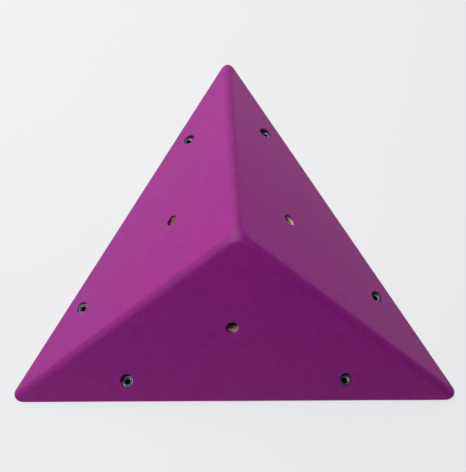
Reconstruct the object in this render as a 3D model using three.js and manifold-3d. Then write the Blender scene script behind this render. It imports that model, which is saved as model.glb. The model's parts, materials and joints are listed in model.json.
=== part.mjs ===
// Climbing volume: a low three-sided plywood pyramid that is screwed to a climbing wall by its foot.
// Millimetres. The wall is z = 0, +Z points away from it, and the front edge lies towards -Y.
// The origin is on the wall, at the middle of the box round the base outline.
import * as THREE from "three";
import { ConvexGeometry } from "three/addons/geometries/ConvexGeometry.js";
import { mergeVertices } from "three/addons/utils/BufferGeometryUtils.js";
import Module from "manifold-3d";

// Base triangle, to its sharp corners
const FRONT_EDGE = 450; // length of the front edge
const REAR_REACH = 390; // rear corner, back from the front edge
const REAR_SHIFT = -6; // rear corner, sideways from the middle of the front edge
const CORNER_RADIUS = 8.5; // base corners, seen from above

// Peak, where the three faces would meet if it were sharp
const PEAK_HEIGHT = 133.5;
const PEAK_REACH = 131; // back from the front edge
const PEAK_SHIFT = 4; // sideways from the middle of the front edge

// Panels
const PANEL_THICKNESS = 18; // birch plywood
const LIP_HEIGHT = 3; // upright edge at the foot
const RIDGE_RADIUS = 8.6; // rounding of the ridges and the peak
const TOUCH_GAP = 0.3; // between pieces that touch

// Wall screws: two upright bores along each base edge, with a steel ferrule in each
const SCREW_INSET = 18.2; // bore axis, in from the base edge
const SCREW_SPACING = 214; // between the two bores of an edge
const FRONT_SCREW_SHIFT = 2; // middle of the pair, along its edge
const RIGHT_SCREW_SHIFT = 7.9;
const LEFT_SCREW_SHIFT = 1.8;
const COUNTERBORE = 12.4;
const WALL_SCREW_BORE = 6.6;
const SEAT_HEIGHT = 6; // floor of the counterbore, above the wall
const FERRULE_HEIGHT = 8;
const FERRULE_SIDE_CLEARANCE = 1;
const FERRULE_BORE = 5.2;
const FERRULE_DISH = 8.8; // mouth of the dish that takes the screw head
const FERRULE_DISH_DEPTH = 1.2;
const FERRULE_CHAMFER = 0.3;

// Hand-hold bores: one in each panel, square to it near the incentre of its face, with a T-nut behind
const FRONT_TNUT_SHIFT = -4.5; // bore axis, sideways from the incentre
const RIGHT_TNUT_SHIFT = 4.7;
const LEFT_TNUT_SHIFT = -2.5;
const FRONT_TNUT_LIFT = 5.7; // bore axis, up the slope from the incentre
const RIGHT_TNUT_LIFT = 9.5;
const LEFT_TNUT_LIFT = 1.6;
const TNUT_BORE = 12.4;
const TNUT_FLANGE = 27;
const TNUT_FLANGE_THICKNESS = 1.6;
const TNUT_BARREL_LENGTH = 8;
const TNUT_THREAD_BORE = 8.6; // inside an M10 thread
const TNUT_MOUTH_CHAMFER = 0.6;

// Screws through the T-nut flange
const TNUT_SCREW_COUNT = 3;
const TNUT_SCREW_CIRCLE = 19.4; // diameter of the circle they stand on
const TNUT_SCREW = { shank: 2.6, length: 11, tip: 2.5, head: 5, headHeight: 1.6, headEdge: 0.5 };

// Battens inside the ridges
const BATTEN_FLANK = 28; // width of each side that lies on a panel
const BATTEN_NOSE = 3; // flank left off at the ridge line
const BATTEN_PEAK_CLEARANCE = 44; // from the upper end to where the inner ridge lines meet
const BATTEN_FOOT_CLEARANCE = 2; // above the wall
const BATTEN_SCREW_REACH = 12; // screw axis, from the ridge line along the panel
const BATTEN_SCREW_START = 45; // first screw, from the lower end
const BATTEN_SCREW_END = 30; // last screw, from the upper end
const BATTEN_SCREW_STAGGER = 20; // between the screws of one panel and those of the next
const BATTEN_SCREWS_PER_PANEL = 2;
const BATTEN_SEAT_WOOD = 6; // wood left under a screw head
const BATTEN_SCREW = { shank: 3.4, length: 17.5, tip: 3.5, head: 7, headHeight: 2.4, headEdge: 0.7 };
const BATTEN_POCKET = 9; // round pocket over the head

// Cutters and rounding
const OVERRUN = 2; // how far a cutter runs past what it cuts
const FOOT_OVERRUN = 40; // how far the pyramids are drawn below the wall before they are cut there
const WELD = 0.001; // vertices closer than this are one
const ROUNDING_STEPS = 8; // facets across a ridge
const CORNER_STEPS = 8;
const BORE_SIDES = 32;
const FERRULE_SIDES = 28;
const POCKET_SIDES = 16;
const SCREW_SIDES = 12;
const HEAD_STEPS = 2;

const wasm = await Module();
wasm.setup();

const UP = new THREE.Vector3(0, 0, 1);

// A closed geometry as a solid that can be joined and cut.
function solidOf(geometry) {
  const bare = geometry.clone();
  bare.deleteAttribute("normal");
  bare.deleteAttribute("uv");
  const merged = mergeVertices(bare, WELD);
  return new wasm.Manifold(
    new wasm.Mesh({
      numProp: 3,
      vertProperties: merged.attributes.position.array,
      triVerts: new Uint32Array(merged.index.array),
    }),
  );
}

// A solid back as a geometry.
function geometryOf(solid) {
  const mesh = solid.getMesh();
  const geometry = new THREE.BufferGeometry();
  geometry.setAttribute("position", new THREE.BufferAttribute(mesh.vertProperties, 3));
  geometry.setIndex(new THREE.BufferAttribute(mesh.triVerts, 1));
  return geometry;
}

// A round bar from z = bottom to z = top, as a solid placed by a frame.
function barIn(frame, x, y, diameter, bottom, top, sides) {
  const bar = new THREE.CylinderGeometry(diameter / 2, diameter / 2, top - bottom, sides);
  bar.rotateX(Math.PI / 2);
  bar.translate(x, y, (top + bottom) / 2);
  bar.applyMatrix4(frame);
  return solidOf(bar);
}

// A profile in the radius and height plane, turned round the z axis.
function turned(profile, sides) {
  const lathe = new THREE.LatheGeometry(profile, sides);
  lathe.rotateX(Math.PI / 2);
  return lathe;
}

// Everything on the far side of a plane, as far as the part reaches.
function beyond(plane, near) {
  const size = 2 * (FRONT_EDGE + REAR_REACH + PEAK_HEIGHT);
  const block = new THREE.BoxGeometry(size, size, size);
  block.translate(0, 0, size / 2);
  block.applyQuaternion(new THREE.Quaternion().setFromUnitVectors(UP, plane.normal));
  const foot = plane.projectPoint(near, new THREE.Vector3());
  block.translate(foot.x, foot.y, foot.z);
  return solidOf(block);
}

// The plane moved inwards, against its outward normal.
function inwards(plane, depth) {
  return new THREE.Plane(plane.normal.clone(), plane.constant + depth);
}

// The point that three planes share.
function meet(a, b, c) {
  const bc = b.normal.clone().cross(c.normal);
  const ca = c.normal.clone().cross(a.normal);
  const ab = a.normal.clone().cross(b.normal);
  const share = -1 / a.normal.dot(bc);
  return new THREE.Vector3()
    .addScaledVector(bc, a.constant * share)
    .addScaledVector(ca, b.constant * share)
    .addScaledVector(ab, c.constant * share);
}

function levelPlane(height) {
  return new THREE.Plane(UP.clone(), -height);
}

const frontLeft = new THREE.Vector3(-FRONT_EDGE / 2, 0, 0);
const frontRight = new THREE.Vector3(FRONT_EDGE / 2, 0, 0);
const rear = new THREE.Vector3(REAR_SHIFT, REAR_REACH, 0);
const peak = new THREE.Vector3(PEAK_SHIFT, PEAK_REACH, PEAK_HEIGHT);

// The point of a triangle that is equally far from its three edges.
function incentre(a, b, c) {
  const weights = [b.distanceTo(c), c.distanceTo(a), a.distanceTo(b)];
  const sum = weights[0] + weights[1] + weights[2];
  return new THREE.Vector3()
    .addScaledVector(a, weights[0] / sum)
    .addScaledVector(b, weights[1] / sum)
    .addScaledVector(c, weights[2] / sum);
}

// A side has its edge, its face plane and two frames on the middle of its edge: the wall frame stands upright
// with y pointing in, and the face frame has y up the slope and z out of it.
function makeSide(name, from, to, screwShift, tnutShift, tnutLift) {
  const middle = from.clone().add(to).multiplyScalar(1 / 2);
  const edge = to.clone().sub(from).normalize();
  const inward = UP.clone().cross(edge);
  const lip = middle.clone().setZ(LIP_HEIGHT);
  const normal = edge.clone().cross(peak.clone().sub(lip)).normalize();
  const slope = normal.clone().cross(edge);
  const wallFrame = new THREE.Matrix4().makeBasis(edge, inward, UP).setPosition(middle);
  const faceFrame = new THREE.Matrix4().makeBasis(edge, slope, normal).setPosition(lip);
  const plane = new THREE.Plane().setFromNormalAndCoplanarPoint(normal, lip);
  const tnutPlace = incentre(from.clone().setZ(LIP_HEIGHT), to.clone().setZ(LIP_HEIGHT), peak)
    .addScaledVector(edge, tnutShift)
    .addScaledVector(slope, tnutLift)
    .applyMatrix4(faceFrame.clone().invert());
  return { name, to, edge, inward, plane, wallFrame, faceFrame, screwShift, tnutPlace };
}

// Anticlockwise, seen from above.
const sides = [
  makeSide("front", frontLeft, frontRight, FRONT_SCREW_SHIFT, FRONT_TNUT_SHIFT, FRONT_TNUT_LIFT),
  makeSide("right", frontRight, rear, RIGHT_SCREW_SHIFT, RIGHT_TNUT_SHIFT, RIGHT_TNUT_LIFT),
  makeSide("left", rear, frontLeft, LEFT_SCREW_SHIFT, LEFT_TNUT_SHIFT, LEFT_TNUT_LIFT),
];
const ridges = sides.map((side, i) => [side, sides[(i + 1) % sides.length]]);

// The base outline, with its corners rounded.
function baseOutline() {
  const outline = new THREE.Shape();
  ridges.forEach(([before, after]) => {
    const turn = before.edge.angleTo(after.edge);
    const setback = CORNER_RADIUS * Math.tan(turn / 2);
    const centre = before.to
      .clone()
      .addScaledVector(before.edge, -setback)
      .addScaledVector(before.inward, CORNER_RADIUS);
    const start = Math.atan2(-before.inward.y, -before.inward.x);
    outline.absarc(centre.x, centre.y, CORNER_RADIUS, start, start + turn, false);
  });
  outline.closePath();
  return outline;
}

// Directions that turn from one face's normal to the next.
function turningDirections(first, second) {
  const directions = [];
  for (let step = 0; step <= ROUNDING_STEPS; step++)
    directions.push(first.clone().lerp(second, step / ROUNDING_STEPS).normalize());
  return directions;
}

// Directions that fill the corner between all three normals.
function peakDirections([a, b, c]) {
  const directions = [];
  for (let i = 0; i <= ROUNDING_STEPS; i++)
    for (let j = 0; i + j <= ROUNDING_STEPS; j++)
      directions.push(
        new THREE.Vector3()
          .addScaledVector(a, i)
          .addScaledVector(b, j)
          .addScaledVector(c, ROUNDING_STEPS - i - j)
          .normalize(),
      );
  return directions;
}

// The outside of the painted form: three flat faces, rounded ridges and peak, and the upright lip.
function outerForm(outline) {
  const cores = new Map(sides.map((side) => [side, inwards(side.plane, RIDGE_RADIUS)]));
  const peakCentre = meet(...cores.values());
  const points = peakDirections(sides.map((side) => side.plane.normal)).map((direction) =>
    peakCentre.clone().addScaledVector(direction, RIDGE_RADIUS),
  );
  ridges.forEach(([first, second]) => {
    const low = meet(cores.get(first), cores.get(second), levelPlane(-FOOT_OVERRUN));
    turningDirections(first.plane.normal, second.plane.normal).forEach((direction) =>
      points.push(low.clone().addScaledVector(direction, RIDGE_RADIUS)),
    );
  });
  const prism = new THREE.ExtrudeGeometry(outline, {
    depth: PEAK_HEIGHT,
    curveSegments: CORNER_STEPS,
    bevelEnabled: false,
  });
  return solidOf(new ConvexGeometry(points)).intersect(solidOf(prism));
}

// The hollow behind the panels.
function cavity() {
  const planes = sides.map((side) => inwards(side.plane, PANEL_THICKNESS));
  const points = [meet(...planes)];
  planes.forEach((plane, i) =>
    points.push(meet(plane, planes[(i + 1) % planes.length], levelPlane(-FOOT_OVERRUN))),
  );
  return solidOf(new ConvexGeometry(points));
}

// The mitre between a side and its neighbour, seen from the side that keeps its wood.
function mitreCutter(side, neighbour) {
  const away = neighbour.plane.normal.clone().sub(side.plane.normal).normalize();
  const mitre = new THREE.Plane().setFromNormalAndCoplanarPoint(away, peak);
  return beyond(inwards(mitre, TOUCH_GAP / 2), peak);
}

// Where the two wall-screw bores of a side stand along its edge.
function screwPlaces(side) {
  return [side.screwShift - SCREW_SPACING / 2, side.screwShift + SCREW_SPACING / 2];
}

// Angles of the screws round a T-nut, in the face frame.
function tnutScrewAngles() {
  const step = (2 * Math.PI) / TNUT_SCREW_COUNT;
  return Array.from({ length: TNUT_SCREW_COUNT }, (_, k) => Math.PI / 2 + k * step);
}

function tnutScrewPlace(side, angle) {
  return new THREE.Vector2(
    side.tnutPlace.x + (TNUT_SCREW_CIRCLE / 2) * Math.cos(angle),
    side.tnutPlace.y + (TNUT_SCREW_CIRCLE / 2) * Math.sin(angle),
  );
}

// The inside of a ridge: a frame with z up the ridge line, y away from it into the hollow and x across,
// its half angle, and for each of the two panels a frame per screw whose z runs out through the panel.
function makeRidge(first, second) {
  const seats = [first, second].map((side) => inwards(side.plane, PANEL_THICKNESS + TOUCH_GAP));
  const along = first.plane.normal.clone().cross(second.plane.normal).normalize();
  const inward = first.plane.normal.clone().add(second.plane.normal).normalize().negate();
  const across = inward.clone().cross(along);
  const foot = meet(...seats, levelPlane(BATTEN_FOOT_CLEARANCE));
  const innerPeak = meet(...sides.map((side) => inwards(side.plane, PANEL_THICKNESS + TOUCH_GAP)));
  const length = foot.distanceTo(innerPeak) - BATTEN_PEAK_CLEARANCE;
  const reach = length - BATTEN_SCREW_START - BATTEN_SCREW_END - BATTEN_SCREW_STAGGER;
  const pitch = reach / Math.max(1, BATTEN_SCREWS_PER_PANEL - 1);
  const halfAngle = (Math.PI - first.plane.normal.angleTo(second.plane.normal)) / 2;
  const frame = new THREE.Matrix4().makeBasis(across, inward, along).setPosition(foot);
  const screws = [first, second].flatMap((side, s) => {
    const normal = side.plane.normal;
    const flank = along.clone().cross(normal);
    if (flank.dot(inward) < 0) flank.negate();
    return Array.from({ length: BATTEN_SCREWS_PER_PANEL }, (_, k) => {
      const station = BATTEN_SCREW_START + s * BATTEN_SCREW_STAGGER + k * pitch;
      const place = foot
        .clone()
        .addScaledVector(along, station)
        .addScaledVector(flank, BATTEN_SCREW_REACH);
      const screwFrame = new THREE.Matrix4()
        .makeBasis(along, normal.clone().cross(along), normal)
        .setPosition(place);
      return { side, frame: screwFrame, number: k + 1 };
    });
  });
  return { name: first.name + "_" + second.name, frame, halfAngle, length, screws };
}

const ridgeSeats = ridges.map(([first, second]) => makeRidge(first, second));

// A pilot hole with room for a screw's shank, from below the seat to the screw's tip.
function pilotIn(frame, x, y, seat, screw) {
  const top = seat + screw.length + TOUCH_GAP;
  return barIn(frame, x, y, screw.shank + 2 * TOUCH_GAP, seat - OVERRUN, top, SCREW_SIDES);
}

// Height of the seat under a T-nut screw's head, in the face frame.
const tnutHeadSeat = -PANEL_THICKNESS - TOUCH_GAP - TNUT_FLANGE_THICKNESS - TOUCH_GAP;

function panelGeometry(side, shell) {
  let panel = shell;
  sides
    .filter((other) => other !== side)
    .forEach((other) => {
      panel = panel.subtract(mitreCutter(side, other));
    });
  const back = -PANEL_THICKNESS - OVERRUN;
  panel = panel.subtract(
    barIn(side.faceFrame, side.tnutPlace.x, side.tnutPlace.y, TNUT_BORE, back, OVERRUN, BORE_SIDES),
  );
  tnutScrewAngles().forEach((angle) => {
    const place = tnutScrewPlace(side, angle);
    panel = panel.subtract(pilotIn(side.faceFrame, place.x, place.y, tnutHeadSeat, TNUT_SCREW));
  });
  screwPlaces(side).forEach((x) => {
    const frame = side.wallFrame;
    panel = panel.subtract(
      barIn(frame, x, SCREW_INSET, COUNTERBORE, SEAT_HEIGHT, PEAK_HEIGHT, BORE_SIDES),
    );
    panel = panel.subtract(
      barIn(frame, x, SCREW_INSET, WALL_SCREW_BORE, -OVERRUN, SEAT_HEIGHT + OVERRUN, BORE_SIDES),
    );
  });
  ridgeSeats.forEach((ridge) =>
    ridge.screws
      .filter((screw) => screw.side === side)
      .forEach((screw) => {
        panel = panel.subtract(pilotIn(screw.frame, 0, 0, -BATTEN_SEAT_WOOD, BATTEN_SCREW));
      }),
  );
  return geometryOf(panel);
}

function battenGeometry(ridge) {
  const sine = Math.sin(ridge.halfAngle);
  const cosine = Math.cos(ridge.halfAngle);
  const section = new THREE.Shape([
    new THREE.Vector2(-BATTEN_NOSE * sine, BATTEN_NOSE * cosine),
    new THREE.Vector2(BATTEN_NOSE * sine, BATTEN_NOSE * cosine),
    new THREE.Vector2(BATTEN_FLANK * sine, BATTEN_FLANK * cosine),
    new THREE.Vector2(-BATTEN_FLANK * sine, BATTEN_FLANK * cosine),
  ]);
  const bar = new THREE.ExtrudeGeometry(section, {
    depth: ridge.length + FOOT_OVERRUN,
    bevelEnabled: false,
  });
  bar.translate(0, 0, -FOOT_OVERRUN);
  bar.applyMatrix4(ridge.frame);
  const down = new THREE.Plane(UP.clone().negate(), BATTEN_FOOT_CLEARANCE);
  let batten = solidOf(bar).subtract(beyond(down, peak));
  ridge.screws.forEach(({ frame }) => {
    batten = batten.subtract(pilotIn(frame, 0, 0, -BATTEN_SEAT_WOOD, BATTEN_SCREW));
    batten = batten.subtract(
      barIn(frame, 0, 0, BATTEN_POCKET, -BATTEN_FLANK, -BATTEN_SEAT_WOOD, POCKET_SIDES),
    );
  });
  return geometryOf(batten);
}

// A steel ring that the wall screw's head pulls on, dished at the top.
function ferruleGeometry() {
  const outer = COUNTERBORE / 2 - FERRULE_SIDE_CLEARANCE;
  return turned(
    [
      new THREE.Vector2(FERRULE_BORE / 2, FERRULE_HEIGHT - FERRULE_DISH_DEPTH),
      new THREE.Vector2(FERRULE_BORE / 2, 0),
      new THREE.Vector2(outer, 0),
      new THREE.Vector2(outer, FERRULE_HEIGHT - FERRULE_CHAMFER),
      new THREE.Vector2(outer - FERRULE_CHAMFER, FERRULE_HEIGHT),
      new THREE.Vector2(FERRULE_DISH / 2, FERRULE_HEIGHT),
      new THREE.Vector2(FERRULE_BORE / 2, FERRULE_HEIGHT - FERRULE_DISH_DEPTH),
    ],
    FERRULE_SIDES,
  );
}

// A flanged nut: z = 0 is the top of the flange, and the barrel stands on it.
function tnutGeometry() {
  const bore = TNUT_THREAD_BORE / 2;
  const barrel = TNUT_BORE / 2 - TOUCH_GAP;
  const body = turned(
    [
      new THREE.Vector2(bore, TNUT_BARREL_LENGTH - TNUT_MOUTH_CHAMFER),
      new THREE.Vector2(bore, -TNUT_FLANGE_THICKNESS),
      new THREE.Vector2(TNUT_FLANGE / 2, -TNUT_FLANGE_THICKNESS),
      new THREE.Vector2(TNUT_FLANGE / 2, 0),
      new THREE.Vector2(barrel, 0),
      new THREE.Vector2(barrel, TNUT_BARREL_LENGTH),
      new THREE.Vector2(bore + TNUT_MOUTH_CHAMFER, TNUT_BARREL_LENGTH),
      new THREE.Vector2(bore, TNUT_BARREL_LENGTH - TNUT_MOUTH_CHAMFER),
    ],
    BORE_SIDES,
  );
  let nut = solidOf(body);
  const hole = TNUT_SCREW.shank + 2 * TOUCH_GAP;
  tnutScrewAngles().forEach((angle) => {
    const x = (TNUT_SCREW_CIRCLE / 2) * Math.cos(angle);
    const y = (TNUT_SCREW_CIRCLE / 2) * Math.sin(angle);
    nut = nut.subtract(
      barIn(new THREE.Matrix4(), x, y, hole, -TNUT_FLANGE_THICKNESS - OVERRUN, OVERRUN, SCREW_SIDES),
    );
  });
  return geometryOf(nut);
}

// A pan-head wood screw: z = 0 is the underside of its head, and it points up.
function screwGeometry({ shank, length, tip, head, headHeight, headEdge }) {
  const profile = [];
  for (let step = 0; step <= HEAD_STEPS; step++) {
    const angle = (Math.PI / 2) * (step / HEAD_STEPS);
    const drop = headEdge + (headHeight - headEdge) * Math.cos(angle);
    profile.push(new THREE.Vector2((head / 2) * Math.sin(angle), -drop));
  }
  profile.push(new THREE.Vector2(head / 2, 0));
  profile.push(new THREE.Vector2(shank / 2, 0));
  profile.push(new THREE.Vector2(shank / 2, length - tip));
  profile.push(new THREE.Vector2(0, length));
  return turned(profile, SCREW_SIDES);
}

const paintedPly = new THREE.MeshStandardMaterial({ color: "#8f2283", roughness: 0.85, metalness: 0 });
const softwood = new THREE.MeshStandardMaterial({ color: "#d3b183", roughness: 0.75, metalness: 0 });
const zincSteel = new THREE.MeshStandardMaterial({ color: "#b9bcbd", roughness: 0.4, metalness: 1 });
const greySteel = new THREE.MeshStandardMaterial({ color: "#8793a0", roughness: 0.45, metalness: 1 });
const screwSteel = new THREE.MeshStandardMaterial({ color: "#a9a48f", roughness: 0.45, metalness: 1 });

function addMesh(parent, name, geometry, material) {
  const flat = geometry.index ? geometry.toNonIndexed() : geometry;
  flat.computeVertexNormals();
  const mesh = new THREE.Mesh(flat, material);
  mesh.name = name;
  parent.add(mesh);
  return mesh;
}

function groupAt(parent, frame) {
  const placed = new THREE.Group();
  frame.decompose(placed.position, placed.quaternion, placed.scale);
  parent.add(placed);
  return placed;
}

const outline = baseOutline();
const outlineBox = new THREE.Box2().setFromPoints(outline.extractPoints(CORNER_STEPS).shape);
const outlineMiddle = outlineBox.getCenter(new THREE.Vector2());

const group = new THREE.Group();
group.name = "climbing_volume";
const body = new THREE.Group();
body.position.set(-outlineMiddle.x, -outlineMiddle.y, 0);
group.add(body);

const shell = outerForm(outline).subtract(cavity());
const ferrule = ferruleGeometry();
const tnut = tnutGeometry();
const tnutScrew = screwGeometry(TNUT_SCREW);
const battenScrew = screwGeometry(BATTEN_SCREW);

sides.forEach((side) => {
  addMesh(body, side.name + "_panel", panelGeometry(side, shell), paintedPly);

  const face = groupAt(body, side.faceFrame);
  const nut = addMesh(face, side.name + "_tnut", tnut, zincSteel);
  nut.position.set(side.tnutPlace.x, side.tnutPlace.y, -PANEL_THICKNESS - TOUCH_GAP);
  tnutScrewAngles().forEach((angle, k) => {
    const place = tnutScrewPlace(side, angle);
    const screw = addMesh(face, side.name + "_tnut_screw_" + (k + 1), tnutScrew, screwSteel);
    screw.position.set(place.x, place.y, tnutHeadSeat);
  });

  const wall = groupAt(body, side.wallFrame);
  screwPlaces(side).forEach((x, k) => {
    const ring = addMesh(wall, side.name + "_ferrule_" + (k + 1), ferrule, greySteel);
    ring.position.set(x, SCREW_INSET, SEAT_HEIGHT + TOUCH_GAP);
  });
});

ridgeSeats.forEach((ridge) => {
  addMesh(body, ridge.name + "_batten", battenGeometry(ridge), softwood);
  ridge.screws.forEach(({ side, frame, number }) => {
    const seat = groupAt(body, frame);
    const name = ridge.name + "_batten_screw_" + side.name + "_" + number;
    addMesh(seat, name, battenScrew, screwSteel).position.set(0, 0, -BATTEN_SEAT_WOOD - TOUCH_GAP);
  });
});

export default group;
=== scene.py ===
"""A three-sided climbing volume: birch plywood panels under one coat of sanded purple paint, with steel
ferrules for the wall screws, T-nuts behind the bores for the holds, and softwood battens inside the ridges.
Lengths are in millimetres in the row frame until a mesh is made from them."""

import json
import math

import bmesh
import bpy
import numpy as np
from mathutils import Matrix, Vector, kdtree, noise
from mathutils.geometry import delaunay_2d_cdt


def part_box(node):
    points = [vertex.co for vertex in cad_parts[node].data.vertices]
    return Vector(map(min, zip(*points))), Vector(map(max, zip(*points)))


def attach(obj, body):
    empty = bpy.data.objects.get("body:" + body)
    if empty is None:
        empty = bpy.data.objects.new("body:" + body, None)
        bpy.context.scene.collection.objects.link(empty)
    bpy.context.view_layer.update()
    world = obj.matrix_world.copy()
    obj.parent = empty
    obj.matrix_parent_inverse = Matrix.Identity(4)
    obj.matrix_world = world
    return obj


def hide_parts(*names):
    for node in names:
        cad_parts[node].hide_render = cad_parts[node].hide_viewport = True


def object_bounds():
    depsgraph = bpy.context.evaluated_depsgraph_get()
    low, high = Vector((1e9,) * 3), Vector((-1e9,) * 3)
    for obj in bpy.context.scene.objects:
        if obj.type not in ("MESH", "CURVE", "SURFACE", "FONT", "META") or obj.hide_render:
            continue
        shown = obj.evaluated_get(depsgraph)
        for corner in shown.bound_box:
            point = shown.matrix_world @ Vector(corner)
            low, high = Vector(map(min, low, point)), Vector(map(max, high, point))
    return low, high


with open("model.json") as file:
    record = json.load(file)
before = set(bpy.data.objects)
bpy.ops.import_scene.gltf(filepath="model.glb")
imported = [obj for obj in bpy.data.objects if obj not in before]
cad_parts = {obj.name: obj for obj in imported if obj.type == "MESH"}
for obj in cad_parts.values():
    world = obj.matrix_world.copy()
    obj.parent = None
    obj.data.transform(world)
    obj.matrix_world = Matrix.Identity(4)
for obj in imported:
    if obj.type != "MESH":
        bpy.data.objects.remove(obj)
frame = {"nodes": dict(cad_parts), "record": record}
cad_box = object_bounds()

MM = 0.001
UP = np.array((0.0, 0.0, 1.0))

# The volume's own sizes that the frame doesn't state
RIDGE_RADIUS = 8.6
CORNER_RADIUS = 8.5
HOLD_BORE = 12.4
WALL_BORE = 6.6
TOUCH_GAP = 0.3
FERRULE_SIDE_CLEARANCE = 1.0
PANEL_ARRIS = 0.25
PEAK_WEAR = 1.5  # how far the sander took the peak down
PEAK_RADIUS = 20.0  # how round it is there
PEAK_SLOPE = 0.35  # how steep the sanded cap gets, less than the ridges are
PEAK_BLEND = 0.5  # how softly it runs into the ridges
# Flat cuts that make the sanded peak on the wood: share of the cap's width, and how many go round
PEAK_CUTS = ((1 / 3, 6), (2 / 3, 12), (1, 18))

# Paint
PAINT_THICKNESS = 0.3
PAINT_CLEARANCE = 0.15  # between the paint's back and the wood
WOOD_INSET = PAINT_THICKNESS + PAINT_CLEARANCE  # how far the wood lies under the paint's outside
PAINT_SIDE = 0.3  # how far the paint stands inside a bore's wall
FOOT_ROLL = 1.2  # how far the paint's rounding reaches each way from the foot's edge
BORE_ROLL = 0.8  # the same at the bores
PAINT_FOOT = 0.1  # lower end of the paint, above the wall
PAINT_DEPTH = 2.6  # how far the paint runs into the bores of the hand holds
PAINT_RAGGED = 0.6  # how much that depth varies
PAINT_WAVE = 2.3  # how long the waves of its edge are there
SPRAY_WAY = (-0.95, -0.2, 0.2)  # the way that the paint flew, so it went deeper on that side
SPRAY_DEPTH = 2.0  # how much deeper
PAINT_SWELL = 0.08  # slow thick and thin of the coat
SWELL_LENGTH = 42.0
RIDGE_SHADE_FROM = 14.0  # degrees that the surface has turned from its flat face where the ridges' painted shade is fullest

# Fineness of the meshes
FACE_STEP = 5.0
OUTLINE_STEP = 4.0
ROUNDING_STEPS = 10
ROLL_STEPS = 5
SLIVER = 0.02  # area of a triangle that is too thin to be one
BORE_SIDES = 96
SMALL_SIDES = 48
SCREW_SIDES = 24
CROWN_SHARES = np.linspace(0.12, 1, 7)  # of a screw head's rounding, from its middle out
DISH_SHARES = np.linspace(0.15, 1, 8)  # the same in the ferrule's dish, from its rim in
THREAD_ROWS = 6  # rows of points in one turn of a thread
SHARP_EDGE = 35.0  # degrees from which an edge of a sawn block is broken
# Rings of points round each bore, as times its rim's width; 2 keeps every second point of the rim
BORE_RINGS = ((1.22, 2), (1.55, 3), (2.1, 4))
# Rows of points along the foot, as how far inside its rounding; 2 keeps every second point
FOOT_ROWS = ((2.0, 1), (5.0, 2))
RIM_CLEARANCE = 1.4  # of the ridges' points from every rim
GRID_CLEARANCE = 0.62 * FACE_STEP  # of the grid's points from all others

# Cutters reach this far past what they cut
BELOW_WALL = 5.0
FLANGE_OVERRUN = 2.0
POCKET_REACH = 30.0
RECESS_OVERRUN = 0.3

# Battens
BATTEN_ARRIS = 0.8
POCKET = 9.0

# Ferrules
FERRULE_BORE_RADIUS = 2.6
FERRULE_EDGE = 0.3  # of the ring's upper rim and the bore's lower one
FERRULE_FOOT_EDGE = 0.4
DISH_RADIUS = 4.4
DISH_DEPTH = 1.2
DISH_LIP = 0.25

# T-nuts
FLANGE_RADIUS = 13.5
FLANGE_THICKNESS = 1.6
FLANGE_EDGE = 0.5
BARREL_FILLET = 0.2
BARREL_EDGE = 0.3
BOLT_RADIUS = 5.0
CREST_RADIUS = 4.3
PITCH = 1.5
MOUTH_WIDENING = 0.75  # how much wider than the crest radius the mouth of the barrel is
LEAD_WIDENING = 0.6  # the same where the thread starts
BACK_WIDENING = 0.3  # the same at the flange's back
RUN_OUT = 1.0  # over how long the thread starts and ends
THREAD_STOP = 0.1  # how far before the flange's back it ends

# Screws: the length is under the head, and the tip is the length over which the thread narrows
TNUT_SCREW = {
    "shank": 2.6, "length": 11.0, "tip": 2.5, "head": 5.0, "head_height": 1.6, "head_edge": 0.5,
    "pitch": 1.1, "recess": 2.4, "recess_width": 0.75, "recess_depth": 1.1,
}
BATTEN_SCREW = {
    "shank": 3.4, "length": 17.5, "tip": 3.5, "head": 7.0, "head_height": 2.4, "head_edge": 0.7,
    "pitch": 1.7, "recess": 3.6, "recess_width": 1.0, "recess_depth": 1.6,
}
HEAD_CHAMFER = (0.15, 0.12)  # width and height of the broken edge under the head
NECK_SHARE = 0.8  # of the shank, right under the head
ROOT_SHARE = 0.72  # of the shank, at the root of the thread
RECESS_SHARES = ((1.15, 1.05), (0.45, 0.75))  # of its length and width, at its mouth and its bottom
THREAD_FROM = 0.6  # under the head
THREAD_TO = 0.2  # before the point


# Reading the frame

def unit(vector):
    vector = np.array(vector, float)
    return vector / np.linalg.norm(vector)


def points_of(node):
    """The node's vertices."""
    mesh = frame["nodes"][node].data
    flat = np.empty(len(mesh.vertices) * 3)
    mesh.vertices.foreach_get("co", flat)
    return flat.reshape(-1, 3) / MM


def span(node, direction):
    """How far the node reaches both ways along a direction."""
    reach = points_of(node) @ direction
    return reach.min(), reach.max()


def matrix_of(x, y, z, origin):
    """A frame of its own, as a matrix that turns its places into places in the row frame."""
    made = np.identity(4)
    made[:3, 0], made[:3, 1], made[:3, 2], made[:3, 3] = x, y, z, origin
    return made


def meeting_point(planes):
    """The point that three planes share, each given by its normal and its distance."""
    return np.linalg.solve([normal for normal, _ in planes], [distance for _, distance in planes])


class Side:
    """One face of the volume. Its own frame has x along the base edge, y up the slope and z out of the face,
    with the origin where the axis of the hand-hold bore meets the face."""

    def __init__(self, name):
        mounts = {mount["name"]: mount for mount in frame["record"]["mounts"]}
        seat = mounts[name + "_hold_seat"]
        self.name = name
        self.normal = unit(seat["axis"])
        self.edge = unit(np.cross(UP, self.normal))
        self.slope = np.cross(self.normal, self.edge)
        self.inward = np.cross(UP, self.edge)
        self.distance = self.normal @ np.array(seat["pos_m"]) / MM
        across = sum(span(name + "_tnut", self.edge)) / 2
        up = sum(span(name + "_tnut", self.slope)) / 2
        self.mouth = self.edge * across + self.slope * up + self.normal * self.distance
        self.frame = matrix_of(self.edge, self.slope, self.normal, self.mouth)
        self.foot_line = span(name + "_panel", self.inward)[0]
        low, high = span(name + "_panel", self.normal)
        self.thickness = high - low

    def plane(self, depth=0.0):
        return self.normal, self.distance - depth


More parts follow.
